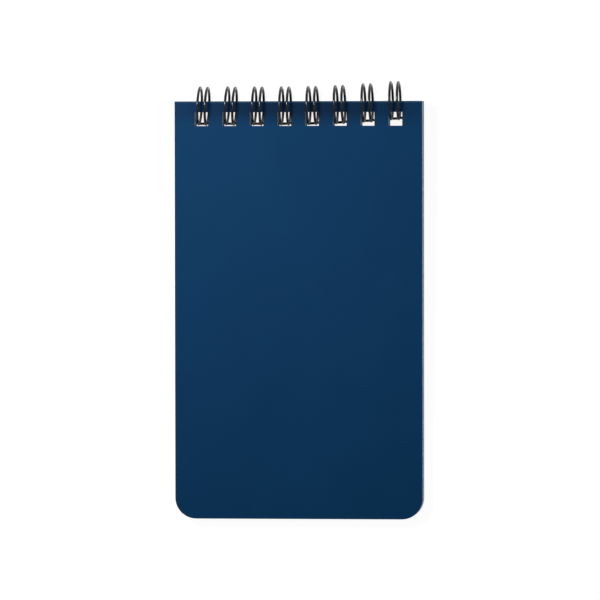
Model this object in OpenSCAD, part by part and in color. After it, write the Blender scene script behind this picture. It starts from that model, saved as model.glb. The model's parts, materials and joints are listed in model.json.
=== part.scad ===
// Pocket reporter notebook, bound along its short top edge with a twin-loop wire.
// It lies on its back: +X to the right, +Y along the sheets towards the wire, +Z up.
// The punched stack is drawn flat round the middle of the rings, then set down as it
// really lies, raised at the bound end by the rings and down on its free end.

/* [Pad] */
// Width of the covers and the sheets
pad_w = 75.6; // [70:0.1:120]
// Length of the covers and the sheets
pad_l = 127; // [80:0.5:200]
// Thickness of the front cover card
front_t = 0.45; // [0.2:0.05:0.8]
// Thickness of the back cover board
back_t = 0.6; // [0.3:0.05:1]
// Thickness of all the sheets together
block_t = 4.2; // [2:0.1:5]
// Radius of the two corners at the free end
corner_r = 6.35; // [1:0.05:15]

/* [Punching] */
// Distance between the middles of two holes, three to the inch
hole_pitch = 8.467; // [7.5:0.001:10]
// Width of a hole, across the pad
hole_w = 4.2; // [3.8:0.05:5]
// Height of a hole, along the pad
hole_h = 4.2; // [3.6:0.05:5]
// Distance from the bound edge to the holes
hole_margin = 3.3; // [2.5:0.1:5]
// Least distance from a side edge to the middle of the outer hole
row_margin = 7; // [5:0.5:12]

/* [Wire] */
// Diameter of the coated wire
wire_d = 0.8; // [0.6:0.05:0.95]
// Diameter of the closed rings over the wire
ring_d = 12; // [11:0.1:14.5]
// Radius of the bends at the foot of each leg, to the middle of the wire
bend_r = 0.9; // [0.75:0.05:1.1]
// How far below the middle of the rings the closing seam lies
seam_drop = 2; // [1.6:0.1:2.4]
// How many hairpins stand out more and more towards the right end
free_hairpins = 4; // [1:1:5]
// Length of the cut wire past the last bend, at either end
stub_l = 1.5; // [0.5:0.1:2.5]
// How far the whole wire is pushed towards the left
wire_shift = 0.15; // [0:0.01:0.2]
// How far each outer hairpin stands inwards of its hole
end_drift = 0.17; // [0:0.01:0.2]

/* [Clearances] */
// Between the legs of a hairpin and the side walls of its hole
leg_play = 0.55; // [0.45:0.01:0.7]
// Between the rings and the far walls of the holes
ring_play = 0.1; // [0.05:0.01:0.3]
// Between the last hairpin and the near wall of its hole
lift_play = 0.62; // [0.4:0.01:1]
// Between the wire at the seam and the sheets, and the back cover
seam_play = 0.1; // [0.05:0.01:0.2]
// Between a hairpin's tip and the bends that it nests between
tip_play = 0.15; // [0.1:0.01:0.2]
// Between the sheets and the front cover
front_play = 0.15; // [0.05:0.01:0.3]
// Between the sheets and the back cover at the free end
end_play = 0.05; // [0.02:0.01:0.2]

/* [Hidden] */
$fn = 48;
// Sides of the round wire, and how far the beads that join its stretches stand proud
wire_facets = 24;
bead_rise = 0.04;
// The holes and the hairpins in them
hole_n = floor((pad_w - 2 * row_margin) / hole_pitch) + 1;
row_l = (hole_n - 1) * hole_pitch;
hairpin_pitch = (row_l - 2 * end_drift) / (hole_n - 1);
leg_gap = hole_w - wire_d - 2 * leg_play;
// Heights in the stack, from the middle of the rings
ring_r = (ring_d - wire_d) / 2;
seam_gap = wire_d + 2 * seam_play;
block_z = seam_gap / 2 - seam_drop;
front_z = block_z + block_t + front_play;
front_top_z = front_z + front_t;
back_z = -seam_drop - seam_gap / 2;
// The rings lie against the far walls of the holes
bound_y = hole_margin + hole_h - ring_d / 2 - ring_play;
free_y = bound_y - pad_l;
// The inside of a ring at the front cover, and the room that this leaves in the hole
ring_inside_y = sqrt(pow(ring_r - wire_d / 2, 2) - pow(front_top_z, 2));
end_lift = hole_h - ring_play - ring_d / 2 + ring_inside_y - lift_play;
// Angles round a ring, from +Y towards +Z: where the legs start and where they end
rod_r = norm([ring_r, bend_r]);
foot_angle = 180 + asin(seam_drop / rod_r) + atan(bend_r / ring_r);
bend_x = leg_gap / 2 + bend_r;
nest_l = sqrt(pow(bend_x + wire_d + tip_play, 2) - pow(bend_x, 2));
tip_angle = foot_angle - nest_l / ring_r * 180 / PI;
leg_angle = 360 + tip_angle - foot_angle;
rod_y = rod_r * cos(foot_angle - atan(bend_r / ring_r));
// The back cover rises to the sheets at its free end
sag = atan((seam_gap - end_play) / (rod_y - free_y));
// The pad lies on the rings and on the free end of the back cover
heel_y = rod_y + (free_y - rod_y) * cos(sag) + back_t * sin(-sag);
heel_z = back_z + (rod_y - free_y) * sin(sag) - back_t * cos(sag);
pitch = asin(ring_d / 2 / norm([heel_y, heel_z])) - atan(heel_z / heel_y);
lie_max_y = end_lift * cos(pitch) + ring_d / 2;
lie_min_y = free_y * cos(pitch) - front_top_z * sin(pitch);

// The middle of a hairpin across the pad, and how far it stands out past the first
function hairpin_x(i) = (i - (hole_n - 1) / 2) * hairpin_pitch - wire_shift;
function hairpin_lift(i) = end_lift * pow(max(0, 1 - (hole_n - 1 - i) / free_hairpins), 2);

// Sets the flat pad down as it lies, centred over the origin
module lying() {
    translate([0, -(lie_max_y + lie_min_y) / 2, ring_d / 2])
        rotate([pitch, 0, 0])
            children();
}

// Outline of a sheet: square corners at the bound edge, round ones at the free end
module sheet_outline() {
    difference() {
        translate([-pad_w / 2, free_y])
            square([pad_w, pad_l]);
        for (side = [-1, 1])
            translate([side * (pad_w / 2 - corner_r), free_y + corner_r])
                corner_waste(side);
    }
}

// What is cut away outside one round corner
module corner_waste(side) {
    difference() {
        translate([side > 0 ? 0 : -2 * corner_r, -2 * corner_r])
            square(2 * corner_r);
        circle(corner_r);
    }
}

module hole_row() {
    for (i = [0 : hole_n - 1])
        translate([(i - (hole_n - 1) / 2) * hole_pitch - hole_w / 2, bound_y - hole_margin - hole_h])
            square([hole_w, hole_h]);
}

module punched_sheet(t) {
    linear_extrude(t)
        difference() {
            sheet_outline();
            hole_row();
        }
}

module front_cover() {
    color([0.07, 0.2, 0.34])
        lying()
            translate([0, 0, front_z])
                punched_sheet(front_t);
}

module page_block() {
    color([0.93, 0.93, 0.9])
        lying()
            translate([0, 0, block_z])
                punched_sheet(block_t);
}

module back_cover() {
    color([0.09, 0.12, 0.16])
        lying()
            translate([0, rod_y, back_z])
                rotate([-sag, 0, 0])
                    translate([0, -rod_y, -back_t])
                        punched_sheet(back_t);
}

// Round wire bent to an arc about the Z axis, from +X towards +Y
module wire_arc(r, angle) {
    rotate_extrude(angle = angle)
        translate([r, 0])
            circle(d = wire_d, $fn = wire_facets);
}

// Places children on a ring: radius along +X, onward round the ring along +Y
module on_ring(angle) {
    rotate([0, 0, angle])
        translate([ring_r, 0, 0])
            children();
}

// Where two stretches of the wire meet end to end
module bead() {
    sphere(d = wire_d + bead_rise, $fn = wire_facets);
}

// The bend at the foot of a leg, turning outwards to the right
module foot_bend() {
    on_ring(foot_angle)
        translate([0, 0, bend_x]) {
            rotate([180, 90, 0])
                wire_arc(bend_r, 90);
            translate([0, -bend_r, 0])
                bead();
        }
}

// Two legs rolled to a ring, joined by a round tip and turned outwards at the foot
module hairpin() {
    for (side = [0, 1])
        mirror([0, 0, side]) {
            translate([0, 0, leg_gap / 2])
                rotate([0, 0, foot_angle])
                    wire_arc(ring_r, leg_angle);
            on_ring(tip_angle)
                translate([0, 0, leg_gap / 2])
                    bead();
            foot_bend();
        }
    on_ring(tip_angle)
        rotate([0, -90, 0])
            wire_arc(leg_gap / 2, 180);
}

// Straight wire along the seam between two points
module seam_rod(from, to) {
    run = to - from;
    translate(from)
        rotate([0, atan2(run.x, run.z), 0])
            cylinder(d = wire_d, h = norm(run), $fn = wire_facets);
}

// The foot of a hairpin where its wire runs along the seam, to the left or the right
function foot_point(i, side) = [
    hairpin_lift(i) + rod_y,
    -seam_drop,
    hairpin_x(i) + side * bend_x
];

module binding_wire() {
    color([0.06, 0.06, 0.07])
        lying()
            rotate([90, 0, 90]) {
                for (i = [0 : hole_n - 1])
                    translate([hairpin_lift(i), 0, hairpin_x(i)])
                        hairpin();
                for (i = [0 : hole_n - 2])
                    seam_rod(foot_point(i, 1), foot_point(i + 1, -1));
                seam_rod(foot_point(0, -1) - [0, 0, stub_l], foot_point(0, -1));
                seam_rod(foot_point(hole_n - 1, 1), foot_point(hole_n - 1, 1) + [0, 0, stub_l]);
            }
}

front_cover();
page_block();
back_cover();
binding_wire();
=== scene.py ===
# %% [markdown]
# # A pocket reporter notebook with a twin-loop wire
#
# The notebook lies on its back on a white table, with its navy cover closed and its
# black wire at the far end. The model that was made first, with its exact sizes and
# hinges, is loaded here as a fixed frame. Each of its four pieces then gets a finer
# mesh in the same place, and a finish of its own.

# %% Load the fixed frame
import json
import math
import random

import bmesh
import bpy
from mathutils import Matrix, Vector


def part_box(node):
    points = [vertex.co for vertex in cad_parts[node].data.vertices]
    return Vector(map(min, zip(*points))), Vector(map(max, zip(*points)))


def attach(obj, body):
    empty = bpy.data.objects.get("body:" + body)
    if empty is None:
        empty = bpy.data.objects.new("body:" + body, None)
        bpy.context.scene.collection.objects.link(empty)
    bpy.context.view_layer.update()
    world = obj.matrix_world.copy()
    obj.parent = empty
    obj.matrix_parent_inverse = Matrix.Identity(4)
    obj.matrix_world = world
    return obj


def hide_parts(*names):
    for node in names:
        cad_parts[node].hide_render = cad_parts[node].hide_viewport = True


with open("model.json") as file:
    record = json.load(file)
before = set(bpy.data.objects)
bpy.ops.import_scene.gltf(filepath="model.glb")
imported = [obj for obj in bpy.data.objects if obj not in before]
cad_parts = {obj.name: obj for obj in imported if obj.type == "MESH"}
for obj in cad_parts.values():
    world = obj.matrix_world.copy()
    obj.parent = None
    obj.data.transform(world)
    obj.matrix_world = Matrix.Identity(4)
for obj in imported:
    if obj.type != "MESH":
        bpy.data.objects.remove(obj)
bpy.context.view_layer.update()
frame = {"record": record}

# %% [markdown]
# ## Sizes
#
# Blender works in metres, and stationery is thought of in millimetres, so every size
# is a number of millimetres times MM. These are the sizes of the real notebook: the
# punched cards and sheets first, then the wire that binds them. The measures under
# them follow from these, so that nothing has to be typed twice.

# %% The driving sizes
MM = 0.001
PAD_W = 75.6 * MM
PAD_L = 127 * MM
FRONT_T = 0.45 * MM
BACK_T = 0.6 * MM
BLOCK_T = 4.2 * MM
CORNER_R = 6.35 * MM
HOLE_COUNT = 8
HOLE_PITCH = 8.467 * MM
HOLE_SIDE = 4.2 * MM
HOLE_MARGIN = 3.3 * MM
WIRE_D = 0.8 * MM
RING_D = 12 * MM
BEND_R = 0.9 * MM
SEAM_DROP = 2 * MM
SEAM_GAP = 1 * MM
FRONT_PLAY = 0.15 * MM
RING_PLAY = 0.1 * MM
TIP_PLAY = 0.15 * MM
END_PLAY = 0.05 * MM
LEG_GAP = 2.3 * MM
LIFT_PLAY = 0.62 * MM
END_DRIFT = 0.17 * MM
WIRE_SHIFT = 0.15 * MM
STUB_L = 1.5 * MM
FREE_HAIRPINS = 4

# %% [markdown]
# The pad is modelled flat, round the middle of the rings, because its sheets are then
# level and its holes square. On the table it leans a little, since the rings lift its
# bound end. That lean is read from the frame, out of the direction in which the free
# end faces, and the place of the rings from the box of the front cover.

# %% Where everything is
RING_R = (RING_D - WIRE_D) / 2
BOUND_Y = HOLE_MARGIN + HOLE_SIDE - RING_D / 2 - RING_PLAY
FREE_Y = BOUND_Y - PAD_L
HOLE_Y = BOUND_Y - HOLE_MARGIN - HOLE_SIDE / 2
BLOCK_Z = SEAM_GAP / 2 - SEAM_DROP
FRONT_Z = BLOCK_Z + BLOCK_T + FRONT_PLAY
FRONT_TOP_Z = FRONT_Z + FRONT_T
BACK_Z = -SEAM_DROP - SEAM_GAP / 2

free_end_axis = Vector(frame["record"]["mounts"][0]["axis"])
lean = math.atan2(-free_end_axis.z, -free_end_axis.y)
cover_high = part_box("front_cover")[1]
ring_y = cover_high.y - BOUND_Y * math.cos(lean) + FRONT_Z * math.sin(lean)
LYING = Matrix.Translation((0, ring_y, RING_D / 2)) @ Matrix.Rotation(lean, 4, "X")
print(f"the pad leans {math.degrees(lean):.2f} degrees, its rings are at y {ring_y / MM:.2f} mm")

# %% [markdown]
# ## Helpers for modelling by hand
#
# Operators act on whatever is selected, so each piece starts with nothing selected.
# In edit mode the faces and edges to work on are picked by a rule, such as all the
# edges that stand upright, which is what a person does with the mouse.


# %% Selecting things
MOSTLY = 0.9


def fresh_start():
    """Leaves edit mode and selects nothing."""
    if bpy.context.mode != "OBJECT":
        bpy.ops.object.mode_set(mode="OBJECT")
    bpy.ops.object.select_all(action="DESELECT")


def work_on(piece):
    """Makes one piece the selected and active one."""
    fresh_start()
    piece.select_set(True)
    bpy.context.view_layer.objects.active = piece


def pick(kind, wanted):
    """Selects the vertices, edges or faces of the mesh being edited that are wanted."""
    bpy.ops.mesh.select_mode(type=kind)
    bpy.ops.mesh.select_all(action="DESELECT")
    mesh = bmesh.from_edit_mesh(bpy.context.object.data)
    parts = {"VERT": mesh.verts, "EDGE": mesh.edges, "FACE": mesh.faces}[kind]
    for part in parts:
        part.select_set(wanted(part))
    mesh.select_flush_mode()
    bmesh.update_edit_mesh(bpy.context.object.data)


def middle(edge):
    """The middle point of an edge."""
    return (edge.verts[0].co + edge.verts[1].co) / 2


def upright(edge):
    """True for an edge that runs through the thickness of a sheet."""
    step = edge.verts[1].co - edge.verts[0].co
    return abs(step.z) > MOSTLY * step.length


# %% Finishing a piece
def apply_modifier(piece, kind, **settings):
    """Adds one modifier with these settings and applies it."""
    modifier = piece.modifiers.new(kind.lower(), kind)
    for name, value in settings.items():
        setattr(modifier, name, value)
    work_on(piece)
    bpy.ops.object.modifier_apply(modifier=modifier.name)


def turn_about(point, angle, axis):
    """The matrix of a turn about a line through a point, along X, Y or Z."""
    there = Matrix.Translation(point)
    return there @ Matrix.Rotation(angle, 4, axis) @ there.inverted()


def lay_down(piece):
    """Moves a piece from the flat pad to where it lies on the table."""
    piece.matrix_world = LYING @ piece.matrix_world
    work_on(piece)
    bpy.ops.object.transform_apply(location=True, rotation=True, scale=True)


def report(piece):
    """Prints what was made."""
    low, high = piece.bound_box[0], piece.bound_box[6]
    size = [round((high[k] - low[k]) / MM, 2) for k in range(3)]
    print(f"{piece.name}: {len(piece.data.polygons)} faces, {size} mm")


# %% [markdown]
# ## One punched sheet
#
# The covers and the pages are cut from flat stock by the same tools: a guillotine, a
# rounding knife for the two corners at the free end, and a row of eight square
# punches. So one function makes them all. It starts from a cube scaled to the sheet,
# bevels two of its upright edges to round corners, and takes the holes out with a
# Boolean, whose cutter is one square peg repeated by an Array.


# %% The row of punches
PEG_L = 3 * BLOCK_T


def punches(height):
    """A row of square pegs, one for each hole."""
    fresh_start()
    first_x = -(HOLE_COUNT - 1) / 2 * HOLE_PITCH
    bpy.ops.mesh.primitive_cube_add(
        size=1, location=(first_x, HOLE_Y, 0), scale=(HOLE_SIDE, HOLE_SIDE, height)
    )
    row = bpy.context.object
    bpy.ops.object.transform_apply(location=True, rotation=True, scale=True)
    apply_modifier(
        row,
        "ARRAY",
        count=HOLE_COUNT,
        use_relative_offset=False,
        use_constant_offset=True,
        constant_offset_displace=(HOLE_PITCH, 0, 0),
    )
    return row


# %% The sheet itself
def punched_sheet(name, thickness, low_z, corner_steps):
    """A flat sheet with its holes and its two round corners, low_z above the rings' middle."""
    fresh_start()
    bpy.ops.mesh.primitive_cube_add(
        size=1,
        location=(0, FREE_Y + PAD_L / 2, low_z + thickness / 2),
        scale=(PAD_W, PAD_L, thickness),
    )
    sheet = bpy.context.object
    sheet.name = name
    bpy.ops.object.transform_apply(location=True, rotation=True, scale=True)
    bpy.ops.object.mode_set(mode="EDIT")
    pick("EDGE", lambda edge: upright(edge) and middle(edge).y < FREE_Y + CORNER_R / 2)
    bpy.ops.mesh.bevel(offset=CORNER_R, segments=corner_steps, affect="EDGES")
    fresh_start()
    cutter = punches(PEG_L)
    apply_modifier(sheet, "BOOLEAN", operation="DIFFERENCE", solver="EXACT", object=cutter)
    bpy.data.objects.remove(cutter)
    return sheet


# %% [markdown]
# A punch draws the card down a little as it goes through, so the rim of each hole is
# rounded on the side where it went in. The guillotine leaves the outer edges crisp,
# with only the narrowest round to catch the light. Both are bevels: one on the rims,
# picked in edit mode, and one on every other sharp edge, by angle. Only the narrow
# faces of these rounds are shaded smooth: a broad face that shares its normals with
# them would show streaks of light between the holes.

# %% Rims and edges
RIM_R = 0.14 * MM
RIM_STEPS = 3
EDGE_R = 0.05 * MM
EDGE_STEPS = 2
NEAR = 0.025 * MM
SHARP = math.radians(40)
BROAD = 0.5 * MM**2


def at_rim(edge, top_z):
    """True for an edge of a hole at the height top_z."""
    level = all(abs(vert.co.z - top_z) < NEAR for vert in edge.verts)
    in_row = abs(middle(edge).y - HOLE_Y) < HOLE_SIDE / 2 + NEAR
    sharp = len(edge.link_faces) == 2 and edge.calc_face_angle() > SHARP
    inner = abs(middle(edge).x) < PAD_W / 2 - NEAR
    return level and in_row and sharp and inner


def finish_card(card, punched_z):
    """Rounds the rims of the holes on one side, and breaks all other edges."""
    work_on(card)
    bpy.ops.object.mode_set(mode="EDIT")
    pick("EDGE", lambda edge: at_rim(edge, punched_z))
    bpy.ops.mesh.bevel(offset=RIM_R, segments=RIM_STEPS, affect="EDGES")
    fresh_start()
    apply_modifier(
        card,
        "BEVEL",
        width=EDGE_R,
        segments=EDGE_STEPS,
        limit_method="ANGLE",
        angle_limit=SHARP,
    )
    bpy.ops.object.shade_smooth()
    bpy.ops.object.mode_set(mode="EDIT")
    pick("FACE", lambda face: face.calc_area() > BROAD)
    bpy.ops.mesh.faces_shade_flat()
    fresh_start()


# %% [markdown]
# ## The front cover
#
# A navy card, dyed through, so that its cut edges are nearly as dark as its face. It
# was punched from the front, so the rims of its holes are rounded there.

# %% Make the front cover
CARD_STEPS = 16
front = punched_sheet("front_card", FRONT_T, FRONT_Z, CARD_STEPS)
finish_card(front, FRONT_TOP_Z)
lay_down(front)
report(front)

# %% [markdown]
# ## The back cover
#
# A stiffer board of the same outline. It hangs on the wire below the seam and rises to
# the sheets at its free end, so it is turned a little about the line of the seam
# before the whole pad is laid down.

# %% Make the back cover
rod_r = math.hypot(RING_R, BEND_R)
foot_angle = math.pi + math.asin(SEAM_DROP / rod_r) + math.atan(BEND_R / RING_R)
rod_y = rod_r * math.cos(foot_angle - math.atan(BEND_R / RING_R))
sag = math.atan((SEAM_GAP - END_PLAY) / (rod_y - FREE_Y))

back = punched_sheet("back_board", BACK_T, BACK_Z - BACK_T, CARD_STEPS)
finish_card(back, BACK_Z - BACK_T)
back.matrix_world = turn_about((0, rod_y, BACK_Z), -sag, "X") @ back.matrix_world
lay_down(back)
report(back)

# %% [markdown]
# ## The sheets
#
# Fifty sheets of thin paper lie between the covers. Seen from the side they are what
# makes a pad look like paper, so each one is a real sheet with a hair of air above
# it. One is modelled and copied, and each copy slips a few hundredths of a
# millimetre out of line, as hand-squared paper does, always towards the free end so
# that it stays clear of the wire. The last one closes the block at its full thickness.
# Joined together they are one piece.

# %% Make the sheets
SHEET_COUNT = 50
SHEET_STEP = BLOCK_T / SHEET_COUNT
PAPER_SHARE = 0.9
SHEET_T = PAPER_SHARE * SHEET_STEP
SLIP = 0.06 * MM
PAGE_STEPS = 8
SHUFFLE = 7

random.seed(SHUFFLE)
first_sheet = punched_sheet("page_sheets", SHEET_T, BLOCK_Z, PAGE_STEPS)
stack = [first_sheet]
for number in range(1, SHEET_COUNT):
    sheet = first_sheet.copy()
    sheet.data = first_sheet.data.copy()
    bpy.context.scene.collection.objects.link(sheet)
    lift = number * SHEET_STEP
    if number == SHEET_COUNT - 1:
        lift += SHEET_STEP - SHEET_T
    sheet.location = (random.uniform(-SLIP, SLIP), -random.uniform(0, SLIP), lift)
    stack.append(sheet)

fresh_start()
for sheet in stack:
    sheet.select_set(True)
bpy.context.view_layer.objects.active = first_sheet
bpy.ops.object.join()
pages = bpy.context.object
lay_down(pages)
report(pages)

# %% [markdown]
# ## The wire
#
# The binding is one wire, from one cut end to the other. It runs along the seam,
# turns into a leg, goes almost once round the ring, turns back at a round tip, comes
# back round beside itself, and turns out along the seam to the next hole.
# Spin is the operator that does just this: it turns a loop of vertices about an axis
# and leaves a tube behind it. So one hairpin is drawn from one small circle, bend by
# bend, without letting go of its end.

# %% The places round a ring
hairpin_pitch = ((HOLE_COUNT - 1) * HOLE_PITCH - 2 * END_DRIFT) / (HOLE_COUNT - 1)
bend_x = LEG_GAP / 2 + BEND_R
nest = math.sqrt((bend_x + WIRE_D + TIP_PLAY) ** 2 - bend_x**2)
leg_turn = 2 * math.pi - nest / RING_R
tip_angle = foot_angle + leg_turn - 2 * math.pi
ring_inside_y = math.sqrt((RING_R - WIRE_D / 2) ** 2 - FRONT_TOP_Z**2)
end_lift = HOLE_SIDE - RING_PLAY - RING_D / 2 + ring_inside_y - LIFT_PLAY

ACROSS = Vector((1, 0, 0))


def on_ring(angle):
    """A point on the ring, from its middle, and the direction onward round it."""
    outward = Vector((0, math.cos(angle), math.sin(angle)))
    onward = Vector((0, -math.sin(angle), math.cos(angle)))
    return outward * RING_R, onward


foot, down = on_ring(foot_angle)
tip, past = on_ring(tip_angle)
seam = foot - down * BEND_R
print(f"each leg turns {math.degrees(leg_turn):.1f} degrees round its ring")

# %% Bend one hairpin
ROUND_WIRE = 20
BEND_STEPS = 8
LEG_STEPS = 96
TIP_STEPS = 18


def turn_wire(centre, axis, angle, steps):
    """Turns the end of the wire about an axis; Spin counts clockwise, so it gets -angle."""
    bpy.ops.mesh.spin(steps=steps, angle=-angle, center=centre, axis=axis)


fresh_start()
bpy.ops.mesh.primitive_circle_add(
    vertices=ROUND_WIRE,
    radius=WIRE_D / 2,
    fill_type="NOTHING",
    location=seam - ACROSS * bend_x,
    rotation=(0, math.pi / 2, 0),
)
hairpin = bpy.context.object
bpy.ops.object.transform_apply(location=True, rotation=True, scale=True)
bpy.ops.object.mode_set(mode="EDIT")
bpy.ops.mesh.select_mode(type="VERT")
bpy.ops.mesh.select_all(action="SELECT")
half = ACROSS * LEG_GAP / 2
turn_wire(foot - ACROSS * bend_x, ACROSS.cross(down), math.pi / 2, BEND_STEPS)
turn_wire(-half, ACROSS, leg_turn, LEG_STEPS)
turn_wire(tip, past.cross(ACROSS), math.pi, TIP_STEPS)
turn_wire(half, ACROSS, -leg_turn, LEG_STEPS)
turn_wire(foot + ACROSS * bend_x, ACROSS.cross(down), math.pi / 2, BEND_STEPS)
fresh_start()
report(hairpin)

# %% [markdown]
# All eight hairpins were bent in the same tool, so the rest are copies of the first.
# They stand in their holes a little to the left of the middle, and the last four stand
# out of the row more and more, as the photographed ones do. Their rings also lean
# sideways towards the middle of the row, each by a step more than its neighbour, as far
# as the holes leave them room: each copy is turned about an upright line through its
# feet. Then the open loops that face each other on the seam are bridged, and the two
# that are left over are drawn out into the short cut ends.

# %% Copy it along the row and join up the seam
END_SLACK = WIRE_D / 4
LEAN_STEP = 0.21 * MM
LEAN_MIDDLE = 3.4
LEAN_ROOM = 0.5 * MM


def hairpin_x(number):
    """The middle of a hairpin, across the pad."""
    return (number - (HOLE_COUNT - 1) / 2) * hairpin_pitch - WIRE_SHIFT


def hairpin_lift(number):
    """How far a hairpin stands out past the first ones, more and more to the right."""
    share = max(0, 1 - (HOLE_COUNT - 1 - number) / FREE_HAIRPINS)
    return end_lift * share**2


def hairpin_lean(number):
    """The turn that leans a ring towards the middle of the row, within its hole."""
    in_hole = hairpin_x(number) - (number - (HOLE_COUNT - 1) / 2) * HOLE_PITCH
    wanted = in_hole - LEAN_STEP * (number - LEAN_MIDDLE)
    shift = max(-LEAN_ROOM, min(LEAN_ROOM, wanted)) - in_hole
    return -math.atan(shift / (RING_R - seam.y))


def open_loops(low_x, high_x):
    """Picks the edges of the open loops between two places across the pad."""
    low_x, high_x = low_x - END_SLACK, high_x + END_SLACK
    pick("EDGE", lambda edge: edge.is_boundary and low_x < middle(edge).x < high_x)


row = []
for number in range(HOLE_COUNT):
    pair = hairpin.copy()
    pair.data = hairpin.data.copy()
    bpy.context.scene.collection.objects.link(pair)
    moved = Matrix.Translation((hairpin_x(number), hairpin_lift(number), 0))
    pair.matrix_world = moved @ turn_about((0, seam.y, 0), hairpin_lean(number), "Z")
    row.append(pair)
bpy.data.objects.remove(hairpin)
fresh_start()
for pair in row:
    pair.select_set(True)
bpy.context.view_layer.objects.active = row[0]
bpy.ops.object.join()
wire = bpy.context.object
wire.name = "twin_loop_wire"
bpy.ops.object.transform_apply(location=True, rotation=True, scale=True)

bpy.ops.object.mode_set(mode="EDIT")
for number in range(HOLE_COUNT - 1):
    open_loops(hairpin_x(number) + bend_x, hairpin_x(number + 1) - bend_x)
    bpy.ops.mesh.bridge_edge_loops()
for number, side in ((0, -1), (HOLE_COUNT - 1, 1)):
    end_x = hairpin_x(number) + side * bend_x
    open_loops(end_x, end_x)
    stub = {"value": side * ACROSS * STUB_L}
    bpy.ops.mesh.extrude_region_move(TRANSFORM_OT_translate=stub)
leans = [round(math.degrees(hairpin_lean(number)), 1) for number in range(HOLE_COUNT)]
print("the rings lean by", leans, "degrees")

# %% [markdown]
# The tube is still open at both ends, where cutters sheared the wire. Each end is
# closed with a face, whose edge is broken by a small bevel. Spin can leave a tube
# inside out, so once it is closed its normals are made to point outwards.

# %% Close the wire's cut ends
CUT_R = 0.08 * MM
CUT_STEPS = 2
SMOOTH_BELOW = math.radians(35)

bpy.ops.mesh.select_all(action="SELECT")
bpy.ops.mesh.fill_holes(sides=ROUND_WIRE)
pick("EDGE", lambda edge: any(len(face.verts) == ROUND_WIRE for face in edge.link_faces))
bpy.ops.mesh.bevel(offset=CUT_R, segments=CUT_STEPS, affect="EDGES")
bpy.ops.mesh.select_all(action="SELECT")
bpy.ops.mesh.normals_make_consistent(inside=False)
fresh_start()
work_on(wire)
bpy.ops.object.shade_smooth_by_angle(angle=SMOOTH_BELOW)
lay_down(wire)
report(wire)

# %% [markdown]
# ## Shader sums as plain Python
#
# Patterns on card and paper are sums of noises and masks. Written out as nodes they
# are long, so a small class wraps the output of a node and lets Python's own signs
# add the Math nodes. Every other node comes from one method of the finish it is in.


# %% Two small classes for finishes
class Value:
    """The output of a node, for use in sums."""

    def __init__(self, finish, socket):
        self.finish = finish
        self.socket = socket

    def math(self, operation, *inputs):
        """One Math node on these inputs."""
        settings = {"operation": operation}
        return self.finish.node("ShaderNodeMath", settings, dict(enumerate(inputs)))

    def __add__(self, other):
        return self.math("ADD", self, other)

    def __radd__(self, other):
        return self.math("ADD", other, self)

    def __sub__(self, other):
        return self.math("SUBTRACT", self, other)

    def __rsub__(self, other):
        return self.math("SUBTRACT", other, self)

    def __mul__(self, other):
        return self.math("MULTIPLY", self, other)

    def __rmul__(self, other):
        return self.math("MULTIPLY", other, self)

    def __truediv__(self, other):
        return self.math("DIVIDE", self, other)

    def size(self):
        """The number without its sign."""
        return self.math("ABSOLUTE", self)

    def root(self):
        """The square root."""
        return self.math("SQRT", self)

    def fraction(self):
        """What is left after the whole number, from 0 to 1."""
        return self.math("FRACT", self)

    def smallest(self, other):
        """The smaller of the two."""
        return self.math("MINIMUM", self, other)

    def largest(self, other):
        """The larger of the two."""
        return self.math("MAXIMUM", self, other)

    def rise(self, start, end):
        """0 below start and 1 above end, with a straight slope between them."""
        inputs = {"Value": self, "From Min": start, "From Max": end}
        return self.finish.node("ShaderNodeMapRange", {"clamp": True}, inputs)


class Finish:
    """One material, built up from nodes."""

    def __init__(self, name, **constants):
        self.material = bpy.data.materials.new(name)
        self.material.use_nodes = True
        self.tree = self.material.node_tree
        self.shader = self.tree.nodes["Principled BSDF"]
        for socket, number in constants.items():
            self.shader.inputs[socket.replace("_", " ")].default_value = number
        self.place = self.node("ShaderNodeTexCoord", output="Object")
        self.facing = self.node("ShaderNodeTexCoord", output="Normal")

    def node(self, kind, settings=None, inputs=None, output=0):
        """Adds a node, sets it, feeds its sockets and gives back one of its outputs."""
        new = self.tree.nodes.new(kind)
        for name, value in (settings or {}).items():
            setattr(new, name, value)
        for socket, value in (inputs or {}).items():
            self.feed(new.inputs[socket], value)
        return Value(self, new.outputs[output])

    def feed(self, socket, value):
        """Links a value to a socket, or sets the socket to a number or a colour."""
        if isinstance(value, Value):
            self.tree.links.new(value.socket, socket)
        else:
            socket.default_value = value

    def noise(self, grain, detail=3, stretch=(1, 1, 1)):
        """Noise with grains of about this size in metres, from 0 to 1."""
        spread = self.node("ShaderNodeMapping", inputs={"Vector": self.place, "Scale": stretch})
        inputs = {"Vector": spread, "Scale": 1 / grain, "Detail": detail}
        return self.node("ShaderNodeTexNoise", inputs=inputs, output="Fac")

    def mix(self, share, first, second):
        """A colour between two, by a share from 0 to 1."""
        inputs = {0: share, 6: first, 7: second}
        return self.node("ShaderNodeMix", {"data_type": "RGBA"}, inputs, output=2)

    def parts(self, vector):
        """The three numbers of a vector."""
        split = self.node("ShaderNodeSeparateXYZ", inputs={"Vector": vector}).socket.node
        return [Value(self, output) for output in split.outputs]

    def flatness(self, start, end):
        """1 on faces that look up or down, and 0 on the cut sides."""
        return self.parts(self.facing)[2].size().rise(start, end)

    def paint(self, colour, roughness, height, depth):
        """Feeds the shader; height from 0 to 1 is a bump of this depth in metres."""
        self.feed(self.shader.inputs["Base Color"], colour)
        self.feed(self.shader.inputs["Roughness"], roughness)
        bump = self.node("ShaderNodeBump", inputs={"Height": height, "Distance": depth})
        self.feed(self.shader.inputs["Normal"], bump)


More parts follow.
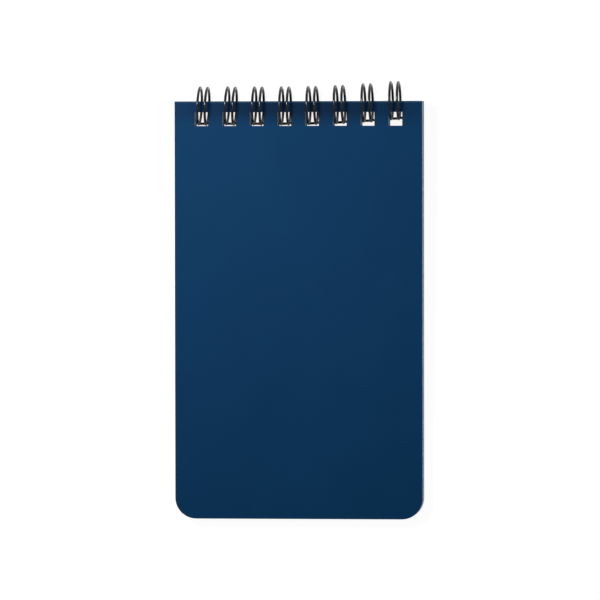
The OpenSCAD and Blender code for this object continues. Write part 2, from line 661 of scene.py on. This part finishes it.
# %% [markdown]
# ## How far a point is from the edge of a sheet
#
# Handling shows first along the edges of the cover, so its finish needs to know how
# near an edge a point is. The distance to an outline with two round corners at the
# free end is a short sum on the point's own coordinates. The bound end has square
# corners, so the distance to its edge is worked out apart, and the smaller one counts.

# %% Distance to the edge
free_end = LYING @ Vector((0, FREE_Y, FRONT_TOP_Z))
bound_end = LYING @ Vector((0, BOUND_Y, FRONT_TOP_Z))


def from_edge(finish):
    """How far inside the outline a point lies, in metres; below 0 past the round corners."""
    x, y = finish.parts(finish.place)[:2]
    past_x = x.size() - (PAD_W / 2 - CORNER_R)
    past_y = free_end.y + CORNER_R - y
    out_x, out_y = past_x.largest(0), past_y.largest(0)
    corner = (out_x * out_x + out_y * out_y).root()
    inside = CORNER_R - corner - past_x.largest(past_y).smallest(0)
    return inside.smallest(bound_end.y - y)


# %% [markdown]
# ## Navy card
#
# The card is dyed in the pulp and pressed smooth. Up close it has the soft cloudiness
# of all card and a very fine tooth; its cut edges show the fibres and are a little
# lighter. A trace of handling along the outline keeps it from looking like plastic. The
# strip between the holes and the bound edge gets painted shade of the wire, darkest in the
# middle of the row, and a painted highlight runs as a pale line along the bound edge.

# %% The finish of the front cover
NAVY = (0.0010, 0.0350, 0.1040, 1)
NAVY_LIGHT = (0.0016, 0.0400, 0.1150, 1)
NAVY_CUT = (0.020, 0.060, 0.120, 1)
# The darkest colour of the painted shade of the wire.
NAVY_WIRE_SHADE = (0.0003, 0.0050, 0.0180, 1)
HANDLED_W = 0.5 * MM
# Width of the painted highlight along the bound edge.
EDGE_HIGHLIGHT_W = 0.6 * MM
# Painted shade of the wire: its strength in the middle and at the ends of the row, and how far
# from the middle it starts to fade.
WIRE_SHADE_MIDDLE = 0.62
WIRE_SHADE_END = 0.25
WIRE_SHADE_REACH = 10 * MM

navy_card = Finish("navy_card", Specular_IOR_Level=0.06)
clouds = navy_card.noise(grain=16 * MM, detail=2).rise(0.3, 0.7)
pulp = navy_card.noise(grain=1.4 * MM, detail=4)
tooth = navy_card.noise(grain=0.25 * MM, detail=3)
handled = 1 - from_edge(navy_card).rise(HANDLED_W / 10, HANDLED_W)
cut_side = 1 - navy_card.flatness(0.3, 0.8)
x, y = navy_card.parts(navy_card.place)[:2]
hole_line = (LYING @ Vector((0, HOLE_Y, FRONT_TOP_Z))).y
past_holes = y.rise(hole_line - HOLE_SIDE / 2, hole_line + HOLE_SIDE / 2)
outer_face = navy_card.parts(navy_card.facing)[2].rise(0.5, 0.9)
to_side = x.size().rise(WIRE_SHADE_REACH, PAD_W / 2)
# Painted shade of the wire on the outer face, between the holes and the bound edge, strongest in
# the middle of the row.
painted_wire_shade = past_holes * outer_face * (WIRE_SHADE_MIDDLE - (WIRE_SHADE_MIDDLE - WIRE_SHADE_END) * to_side)
# Painted highlight: a pale line along the bound edge of the outer face.
painted_edge_highlight = outer_face * (1 - (bound_end.y - y).rise(EDGE_HIGHLIGHT_W / 2, EDGE_HIGHLIGHT_W))
# Wear along the outline and on the cut sides, plus the painted highlight line.
wear_and_edge_highlight = handled * pulp * 0.35 + cut_side * (0.5 + 0.5 * tooth) + painted_edge_highlight
card_colour = navy_card.mix(clouds * 0.6 + pulp * 0.4, NAVY, NAVY_LIGHT)
# Darkens the card with the painted shade of the wire.
card_colour = navy_card.mix(painted_wire_shade, card_colour, NAVY_WIRE_SHADE)
navy_card.paint(
    colour=navy_card.mix(wear_and_edge_highlight.smallest(1), card_colour, NAVY_CUT),
    roughness=0.52 + 0.1 * pulp + 0.2 * cut_side,
    height=tooth * 0.6 + pulp * 0.4,
    depth=0.012 * MM,
)
front.data.materials.clear()
front.data.materials.append(navy_card.material)
print("navy card:", len(navy_card.tree.nodes), "nodes")

# %% [markdown]
# ## Back board
#
# The back is a duller and darker board, made from mixed pulp, so it has long, paler
# fibres pressed into its face.

# %% The finish of the back cover
BOARD = (0.0070, 0.0110, 0.0190, 1)
BOARD_LIGHT = (0.0160, 0.0220, 0.0330, 1)
BOARD_FIBRE = (0.0500, 0.0560, 0.0640, 1)

dark_board = Finish("dark_board", Specular_IOR_Level=0.15)
mottle = dark_board.noise(grain=2.2 * MM, detail=5)
fibres = dark_board.noise(grain=0.5 * MM, detail=2, stretch=(1, 0.22, 1)).rise(0.62, 0.72)
board_cut = 1 - dark_board.flatness(0.3, 0.8)
board_colour = dark_board.mix(mottle, BOARD, BOARD_LIGHT)
dark_board.paint(
    colour=dark_board.mix(fibres * 0.35 + board_cut * 0.3, board_colour, BOARD_FIBRE),
    roughness=0.72 + 0.12 * mottle,
    height=mottle * 0.5 + fibres * 0.5,
    depth=0.02 * MM,
)
back.data.materials.clear()
back.data.materials.append(dark_board.material)
print("dark board:", len(dark_board.tree.nodes), "nodes")

# %% [markdown]
# ## Paper
#
# Bond paper is a little uneven in whiteness and quite matt; its cut sides are painted
# cooler and greyer, as painted bluish shade. Such pads are ruled feint, in pale blue
# lines about 7 mm apart, below a deeper blank head. The lines are a mask that repeats
# with the distance down the page, and they show only on faces that look up or down, not on the
# cut edges.

# %% The finish of the pages
PAPER = (0.80, 0.80, 0.785, 1)
PAPER_WHITE = (0.87, 0.87, 0.86, 1)
# The colour of the painted bluish shade on the cut sides.
PAPER_SIDE_SHADE = (0.67, 0.72, 0.77, 1)
FEINT = (0.42, 0.55, 0.70, 1)
RULE_STEP = 7.1 * MM
RULE_W = 0.22 * MM
INK_BLUR = 0.15 * RULE_W
HEAD = 22 * MM
FOOT = 6 * MM

bond_paper = Finish("bond_paper", Specular_IOR_Level=0.25)
formation = bond_paper.noise(grain=1.8 * MM, detail=4)
felt = bond_paper.noise(grain=0.16 * MM, detail=2)
page_top = LYING @ Vector((0, BOUND_Y, BLOCK_Z))
down_page = page_top.y - bond_paper.parts(bond_paper.place)[1]
from_line = ((down_page / RULE_STEP).fraction() - 0.5).size() * RULE_STEP
on_line = 1 - from_line.rise(RULE_W / 2 - INK_BLUR, RULE_W / 2 + INK_BLUR)
below_head = down_page.rise(HEAD, HEAD + RULE_W)
above_foot = 1 - down_page.rise(PAD_L - FOOT - RULE_W, PAD_L - FOOT)
flat_face = bond_paper.flatness(0.5, 0.9)
ruled = on_line * below_head * above_foot * flat_face * (0.55 + 0.3 * felt)
paper_colour = bond_paper.mix(formation, PAPER, PAPER_WHITE)
# Painted bluish shade on the cut sides of the sheets.
paper_colour = bond_paper.mix(1 - flat_face, paper_colour, PAPER_SIDE_SHADE)
bond_paper.paint(
    colour=bond_paper.mix(ruled, paper_colour, FEINT),
    roughness=0.82 + 0.1 * formation,
    height=felt * 0.5 + formation * 0.5,
    depth=0.01 * MM,
)
pages.data.materials.clear()
pages.data.materials.append(bond_paper.material)
print("bond paper:", len(bond_paper.tree.nodes), "nodes")

# %% [markdown]
# ## Coated wire
#
# The wire is drawn steel with a thin black coat of nylon, glossy but not a mirror. The
# coat pulls a little in the bends, so its gloss is uneven, and its surface has a slight
# orange peel that breaks up the long highlights.

# %% The finish of the wire
BLACK = (0.0028, 0.0028, 0.0032, 1)
BLACK_WORN = (0.0090, 0.0090, 0.0098, 1)

black_coat = Finish("black_coat", Specular_IOR_Level=0.5)
patches = black_coat.noise(grain=2.5 * MM, detail=3)
peel = black_coat.noise(grain=0.35 * MM, detail=2)
black_coat.paint(
    colour=black_coat.mix(patches.rise(0.5, 0.75) * 0.6, BLACK, BLACK_WORN),
    roughness=0.14 + 0.08 * patches + 0.05 * peel,
    height=peel,
    depth=0.006 * MM,
)
wire.data.materials.clear()
wire.data.materials.append(black_coat.material)
print("black coat:", len(black_coat.tree.nodes), "nodes")

# %% [markdown]
# ## Each piece on its body
#
# Every new piece stands for one node of the frame and rides on the same body, so the
# covers swing on the wire as the hinges say. The pages stay with the wire.

# %% Join the pieces to the frame
for piece, node, body, slot in (
    (front, "front_cover", "front_cover", "cover_card"),
    (back, "back_cover", "back_cover", "back_board"),
    (pages, "page_block", "pad", "page_paper"),
    (wire, "binding_wire", "pad", "coated_wire"),
):
    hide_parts(node)
    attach(piece, body)
    print(piece.name, "rides on", body)

# %% [markdown]
# ## The table
#
# A white table that turns up into a low white wall all round, as in a photographer's
# sweep. It is drawn from the top of the wall: a circle is extruded down, then inwards
# round a quarter turn, and its last loop is filled to make the table. To the camera
# and in reflections it shows as a mix of plain white light and of its own lit surface,
# so the ground is white all over and still keeps a pale shadow of the pad.

# %% Make the table
TABLE_R = 3.0
COVE_R = 0.4
COVE_STEPS = 8
ROUND_TABLE = 96
WALL_H = 0.5
TABLE_DROP = 0.02 * MM
TABLE_WHITE = (0.90, 0.90, 0.90, 1)
TABLE_GLOW = 1.17
TABLE_SHARE = 0.78

fresh_start()
bpy.ops.mesh.primitive_circle_add(
    vertices=ROUND_TABLE,
    radius=TABLE_R + COVE_R,
    fill_type="NOTHING",
    location=(0, 0, COVE_R + WALL_H - TABLE_DROP),
)
table = bpy.context.object
table.name = "white_table"
bpy.ops.object.transform_apply(location=True, rotation=True, scale=True)
bpy.ops.object.mode_set(mode="EDIT")
bpy.ops.mesh.select_mode(type="EDGE")
bpy.ops.mesh.select_all(action="SELECT")
bpy.ops.mesh.extrude_region_move(TRANSFORM_OT_translate={"value": (0, 0, -WALL_H)})
reach, height = TABLE_R + COVE_R, COVE_R
for step in range(1, COVE_STEPS + 1):
    turn = math.pi / 2 * step / COVE_STEPS
    next_reach = TABLE_R + COVE_R * math.cos(turn)
    next_height = COVE_R * (1 - math.sin(turn))
    fall = {"value": (0, 0, next_height - height)}
    bpy.ops.mesh.extrude_region_move(TRANSFORM_OT_translate=fall)
    narrow = next_reach / reach
    bpy.ops.transform.resize(value=(narrow, narrow, 1), center_override=(0, 0, 0))
    reach, height = next_reach, next_height
bpy.ops.mesh.edge_face_add()
fresh_start()
work_on(table)
bpy.ops.object.shade_smooth_by_angle(angle=SMOOTH_BELOW)

studio_white = Finish("studio_white", Base_Color=TABLE_WHITE, Roughness=0.9, Specular_IOR_Level=0)
kinds = studio_white.node("ShaderNodeLightPath").socket.node.outputs
seen = Value(studio_white, kinds["Is Camera Ray"])
for kind in ("Is Glossy Ray", "Is Transmission Ray"):
    seen = seen.largest(Value(studio_white, kinds[kind]))
glow = studio_white.node("ShaderNodeEmission", inputs={"Strength": TABLE_GLOW})
lit = Value(studio_white, studio_white.shader.outputs["BSDF"])
inputs = {0: seen * TABLE_SHARE, 1: lit, 2: glow}
look = studio_white.node("ShaderNodeMixShader", inputs=inputs)
studio_white.feed(studio_white.tree.nodes["Material Output"].inputs["Surface"], look)
table.data.materials.append(studio_white.material)
report(table)

# %% [markdown]
# ## Light
#
# The key lamp is a narrow strip to the left of the bound end, behind a grid. The strip
# draws long thin highlights on the wire, and the grid holds its light to the bound end,
# so that the cover is lighter at its top. A large lamp fills from the right, and an
# even, pale sky does the rest. Together they light a level sheet so that a colour
# renders about as it is written.

# %% Lamps and sky
SKY = 0.23


def softbox(name, place, aim, width, length, watts, spread):
    """A flat lamp that faces a point, behind a grid that narrows its light to a spread."""
    fresh_start()
    bpy.ops.object.light_add(type="AREA", location=place)
    lamp = bpy.context.object
    lamp.name = name
    lamp.data.shape = "RECTANGLE"
    lamp.data.size = width
    lamp.data.size_y = length
    lamp.data.energy = watts
    lamp.data.spread = math.radians(spread)
    lamp.visible_camera = False
    lamp.rotation_euler = (Vector(aim) - Vector(place)).to_track_quat("-Z", "Y").to_euler()
    return lamp


key = softbox(
    "key_lamp",
    place=(-0.20, 0.16, 0.37),
    aim=(-0.07, 0.08, 0),
    width=0.04,
    length=0.20,
    watts=0.31,
    spread=74,
)
fill = softbox(
    "fill_lamp",
    place=(0.6, -0.1, 0.8),
    aim=(0, 0, 0),
    width=0.5,
    length=0.5,
    watts=0.9,
    spread=180,
)

world = bpy.data.worlds.new("pale_sky")
world.use_nodes = True
sky = world.node_tree.nodes["Background"]
sky.inputs["Color"].default_value = (1, 1, 1, 1)
sky.inputs["Strength"].default_value = SKY
bpy.context.scene.world = world
bpy.context.scene.view_settings.view_transform = "Standard"
print("lamps:", key.name, key.data.energy, "W and", fill.name, fill.data.energy, "W")

# %% [markdown]
# ## Camera
#
# The photograph was taken from about two metres above the cover, a little to the right
# of its middle and towards the wire, so that a thin strip of pages shows at the right
# and none at the bound end. The camera stands there and looks at the point that the
# middle of the picture shows, held a hair off level so that the pad stands upright.

# %% Place the camera
CAMERA_UP = 2.0
CAMERA_RIGHT = 0.215
CAMERA_TOP = 0.05
LENS = 397.4
SENSOR_W = 36
CAMERA_ROLL = math.radians(0.10)
CLIP_END = 20
PICTURE_MIDDLE_X = 0.5 * MM
PICTURE_MIDDLE_DOWN = 60.40 * MM

aim = LYING @ Vector((PICTURE_MIDDLE_X, BOUND_Y - PICTURE_MIDDLE_DOWN, FRONT_TOP_Z))
turn_only = LYING.to_3x3()
stand = aim + turn_only @ Vector((CAMERA_RIGHT, CAMERA_TOP, CAMERA_UP))
fresh_start()
bpy.ops.object.camera_add(location=stand)
camera = bpy.context.object
backward = (stand - aim).normalized()
pad_up = turn_only @ Vector((math.sin(CAMERA_ROLL), math.cos(CAMERA_ROLL), 0))
rightward = pad_up.cross(backward).normalized()
upward = backward.cross(rightward)
camera.rotation_euler = Matrix((rightward, upward, backward)).transposed().to_euler()
camera.data.lens = LENS
camera.data.sensor_width = SENSOR_W
camera.data.clip_end = CLIP_END
bpy.context.scene.camera = camera
print(f"camera {(aim - stand).length:.3f} m from the cover")
